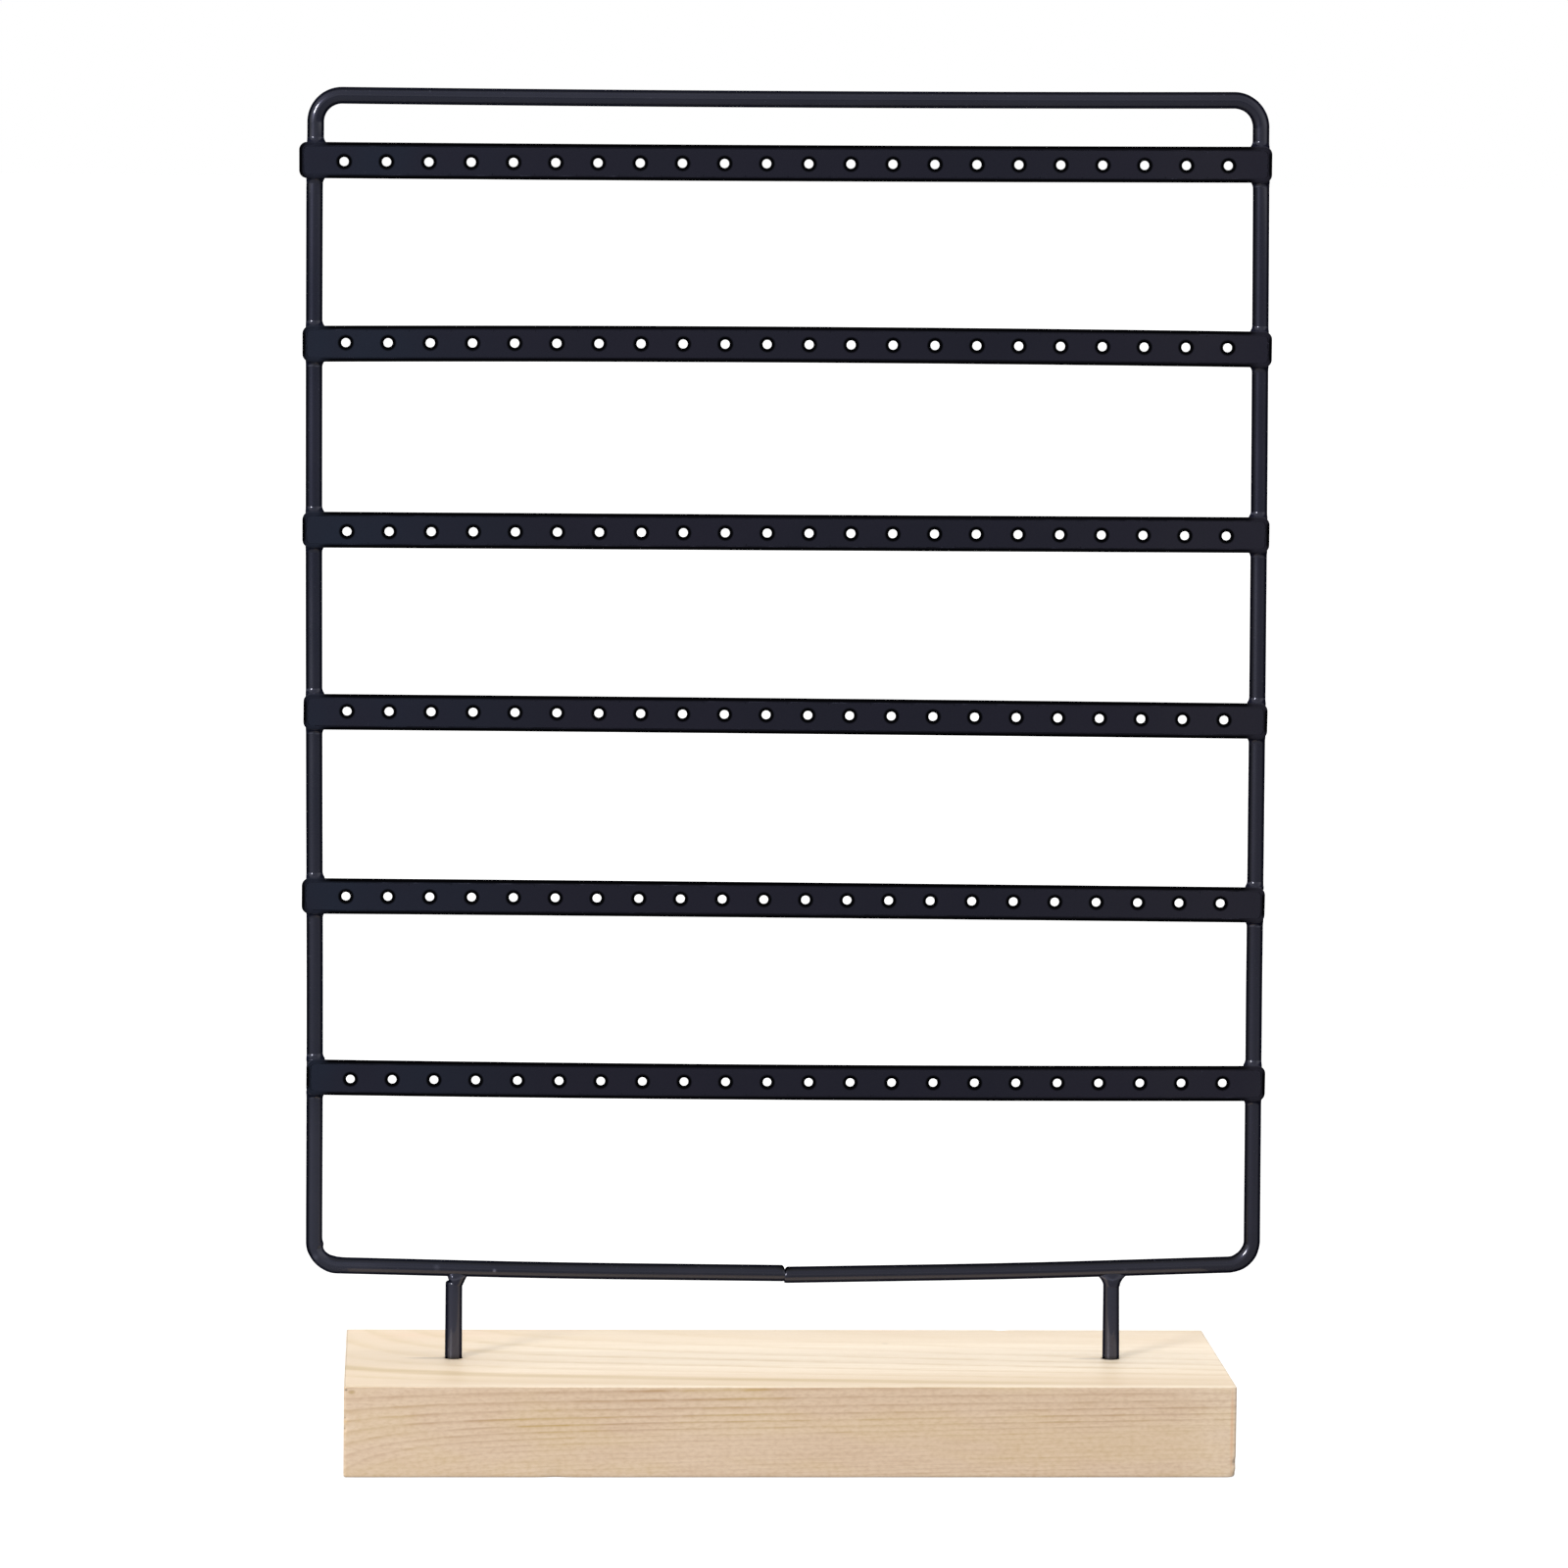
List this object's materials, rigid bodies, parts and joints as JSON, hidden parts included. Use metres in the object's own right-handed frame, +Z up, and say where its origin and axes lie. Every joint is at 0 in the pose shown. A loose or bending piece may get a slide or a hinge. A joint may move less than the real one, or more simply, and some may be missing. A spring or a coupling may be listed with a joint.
{
  "type": "earring display stand",
  "caption": "Upright display stand for earrings: a bent rod loop on two legs in a wooden block, with flat punched strips across its front.",
  "frame": {"origin": "middle of the wooden block's underside", "axes": "+Z up, +X to the right seen from the front, and the front with the strips faces -Y"},
  "size_m": [0.251, 0.08, 0.3518],
  "materials": {
    "pine": "sanded, unvarnished",
    "coated_steel": "satin bluish black paint"
  },
  "bodies": {
    "root": {"base_block": "pine", "rod_loop": "coated_steel", "left_leg": "coated_steel", "right_leg": "coated_steel", "left_leg_weld": "coated_steel", "right_leg_weld": "coated_steel", "strip_1": "coated_steel", "strip_2": "coated_steel", "strip_3": "coated_steel", "strip_4": "coated_steel", "strip_5": "coated_steel", "strip_6": "coated_steel", "strip_1_welds": "coated_steel", "strip_2_welds": "coated_steel", "strip_3_welds": "coated_steel", "strip_4_welds": "coated_steel", "strip_5_welds": "coated_steel", "strip_6_welds": "coated_steel"}
  },
  "joints": []
}
